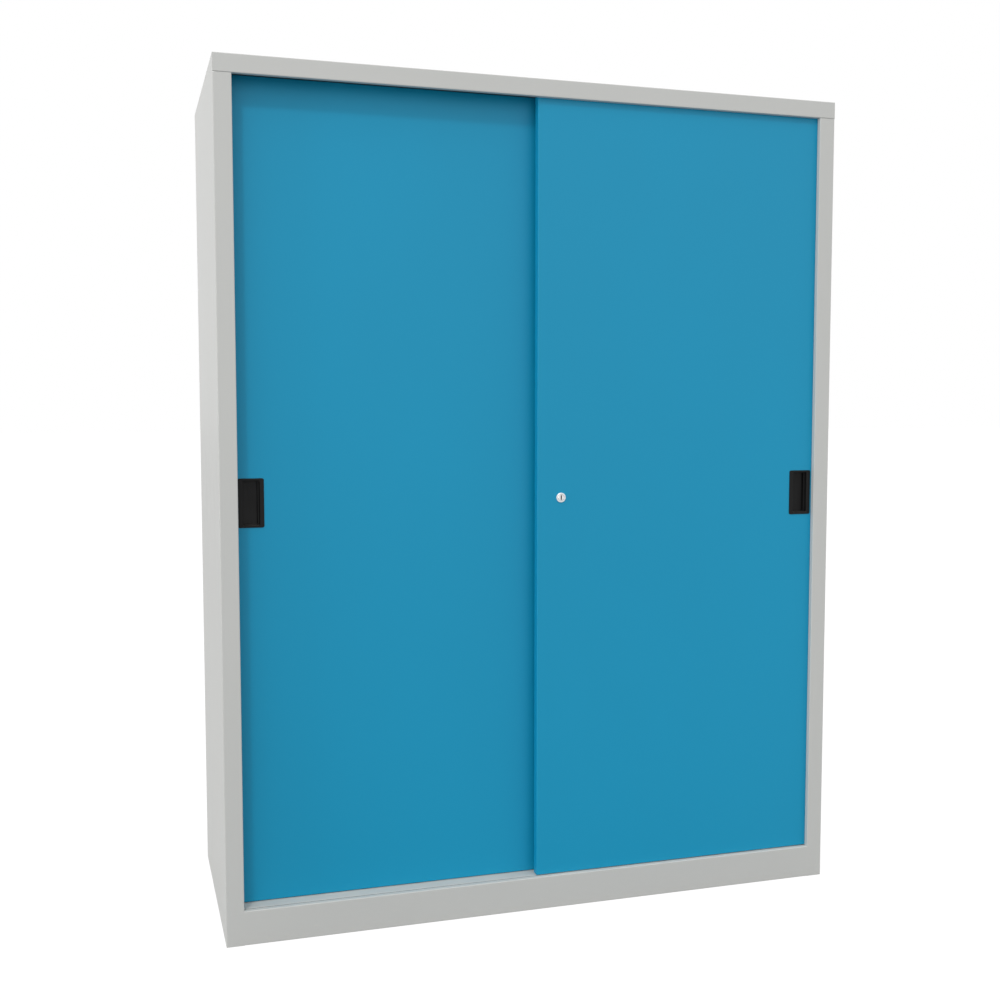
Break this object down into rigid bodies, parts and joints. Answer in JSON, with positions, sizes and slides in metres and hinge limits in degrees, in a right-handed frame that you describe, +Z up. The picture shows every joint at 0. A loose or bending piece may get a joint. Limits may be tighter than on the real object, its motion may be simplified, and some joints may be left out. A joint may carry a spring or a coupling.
{
  "type": "sliding door cabinet",
  "caption": "Tall steel cupboard with a sliding door in front of another, recessed pulls, a push lock, a centre partition and hooked shelves.",
  "frame": {"origin": "on the floor, at the middle of the footprint", "axes": "+Z up, +X to the right seen from the front, and the doors face -Y"},
  "size_m": [1.5, 0.6, 1.95],
  "materials": {
    "frame_grey": "satin powder coat",
    "door_blue": "satin powder coat",
    "black_plastic": "fine matt",
    "chrome": "polished",
    "zinc_steel": "zinc plated",
    "nylon": "moulded",
    "rubber": "matt"
  },
  "bodies": {
    "carcass": {"side_panel_left": "frame_grey", "side_panel_right": "frame_grey", "top_panel": "frame_grey", "plinth": "frame_grey", "bottom_panel": "frame_grey", "back_panel": "frame_grey", "centre_partition": "frame_grey", "top_track_front": "zinc_steel", "top_track_rear": "zinc_steel", "floor_guide": "nylon", "door_buffer_left": "rubber", "door_buffer_right": "rubber", "strip_left_outer_front": "frame_grey", "strip_left_outer_rear": "frame_grey", "strip_left_inner_front": "frame_grey", "strip_left_inner_rear": "frame_grey", "strip_right_outer_front": "frame_grey", "strip_right_outer_rear": "frame_grey", "strip_right_inner_front": "frame_grey", "strip_right_inner_rear": "frame_grey", "shelf_left_1": "frame_grey", "shelf_left_2": "frame_grey", "shelf_left_3": "frame_grey", "shelf_right_1": "frame_grey", "shelf_right_2": "frame_grey", "shelf_right_3": "frame_grey", "bracket_left_1_outer": "zinc_steel", "bracket_left_1_inner": "zinc_steel", "bracket_left_2_outer": "zinc_steel", "bracket_left_2_inner": "zinc_steel", "bracket_left_3_outer": "zinc_steel", "bracket_left_3_inner": "zinc_steel", "bracket_right_1_outer": "zinc_steel", "bracket_right_1_inner": "zinc_steel", "bracket_right_2_outer": "zinc_steel", "bracket_right_2_inner": "zinc_steel", "bracket_right_3_outer": "zinc_steel", "bracket_right_3_inner": "zinc_steel"},
    "front_door": {"front_door": "door_blue", "front_door_stiffener": "zinc_steel", "front_door_pull": "black_plastic", "front_door_hanger_left": "zinc_steel", "front_door_hanger_right": "zinc_steel", "front_door_axle_left": "zinc_steel", "front_door_axle_right": "zinc_steel", "lock_housing": "chrome", "lock_nut": "zinc_steel"},
    "rear_door": {"rear_door": "door_blue", "rear_door_stiffener": "zinc_steel", "rear_door_pull": "black_plastic", "rear_door_hanger_left": "zinc_steel", "rear_door_hanger_right": "zinc_steel", "rear_door_axle_left": "zinc_steel", "rear_door_axle_right": "zinc_steel"},
    "lock_plunger": {"lock_plunger": "chrome"},
    "lock_plug": {"lock_plug": "chrome"},
    "front_roller_left": {"front_door_roller_left": "nylon"},
    "front_roller_right": {"front_door_roller_right": "nylon"},
    "rear_roller_left": {"rear_door_roller_left": "nylon"},
    "rear_roller_right": {"rear_door_roller_right": "nylon"}
  },
  "joints": [
    {"name": "front_door_slide", "type": "slide", "parent": "carcass", "child": "front_door", "axis": [1, 0, 0], "range_m": [-0.7195, 0]},
    {"name": "rear_door_slide", "type": "slide", "parent": "carcass", "child": "rear_door", "axis": [1, 0, 0], "range_m": [0, 0.7195]},
    {"name": "lock_push", "type": "slide", "parent": "front_door", "child": "lock_plunger", "axis": [0, 1, 0], "range_m": [-0.006, 0]},
    {"name": "key_turn", "type": "hinge", "parent": "lock_plunger", "child": "lock_plug", "pos_m": [0.041, -0.287, 0.988], "axis": [0, 1, 0], "range_deg": [0, 90]},
    {"name": "front_roller_left_spin", "type": "hinge", "parent": "front_door", "child": "front_roller_left", "pos_m": [0.0625, -0.27425, 1.936], "axis": [0, 1, 0], "continuous": true},
    {"name": "front_roller_right_spin", "type": "hinge", "parent": "front_door", "child": "front_roller_right", "pos_m": [0.657, -0.27425, 1.936], "axis": [0, 1, 0], "continuous": true},
    {"name": "rear_roller_left_spin", "type": "hinge", "parent": "rear_door", "child": "rear_roller_left", "pos_m": [-0.657, -0.23725, 1.936], "axis": [0, 1, 0], "continuous": true},
    {"name": "rear_roller_right_spin", "type": "hinge", "parent": "rear_door", "child": "rear_roller_right", "pos_m": [-0.0625, -0.23725, 1.936], "axis": [0, 1, 0], "continuous": true}
  ],
  "couplings": [
    {"joint": "front_roller_left_spin", "follows": "front_door_slide", "rad_per_m": 142.86},
    {"joint": "front_roller_right_spin", "follows": "front_door_slide", "rad_per_m": 142.86},
    {"joint": "rear_roller_left_spin", "follows": "rear_door_slide", "rad_per_m": 142.86},
    {"joint": "rear_roller_right_spin", "follows": "rear_door_slide", "rad_per_m": 142.86}
  ]
}
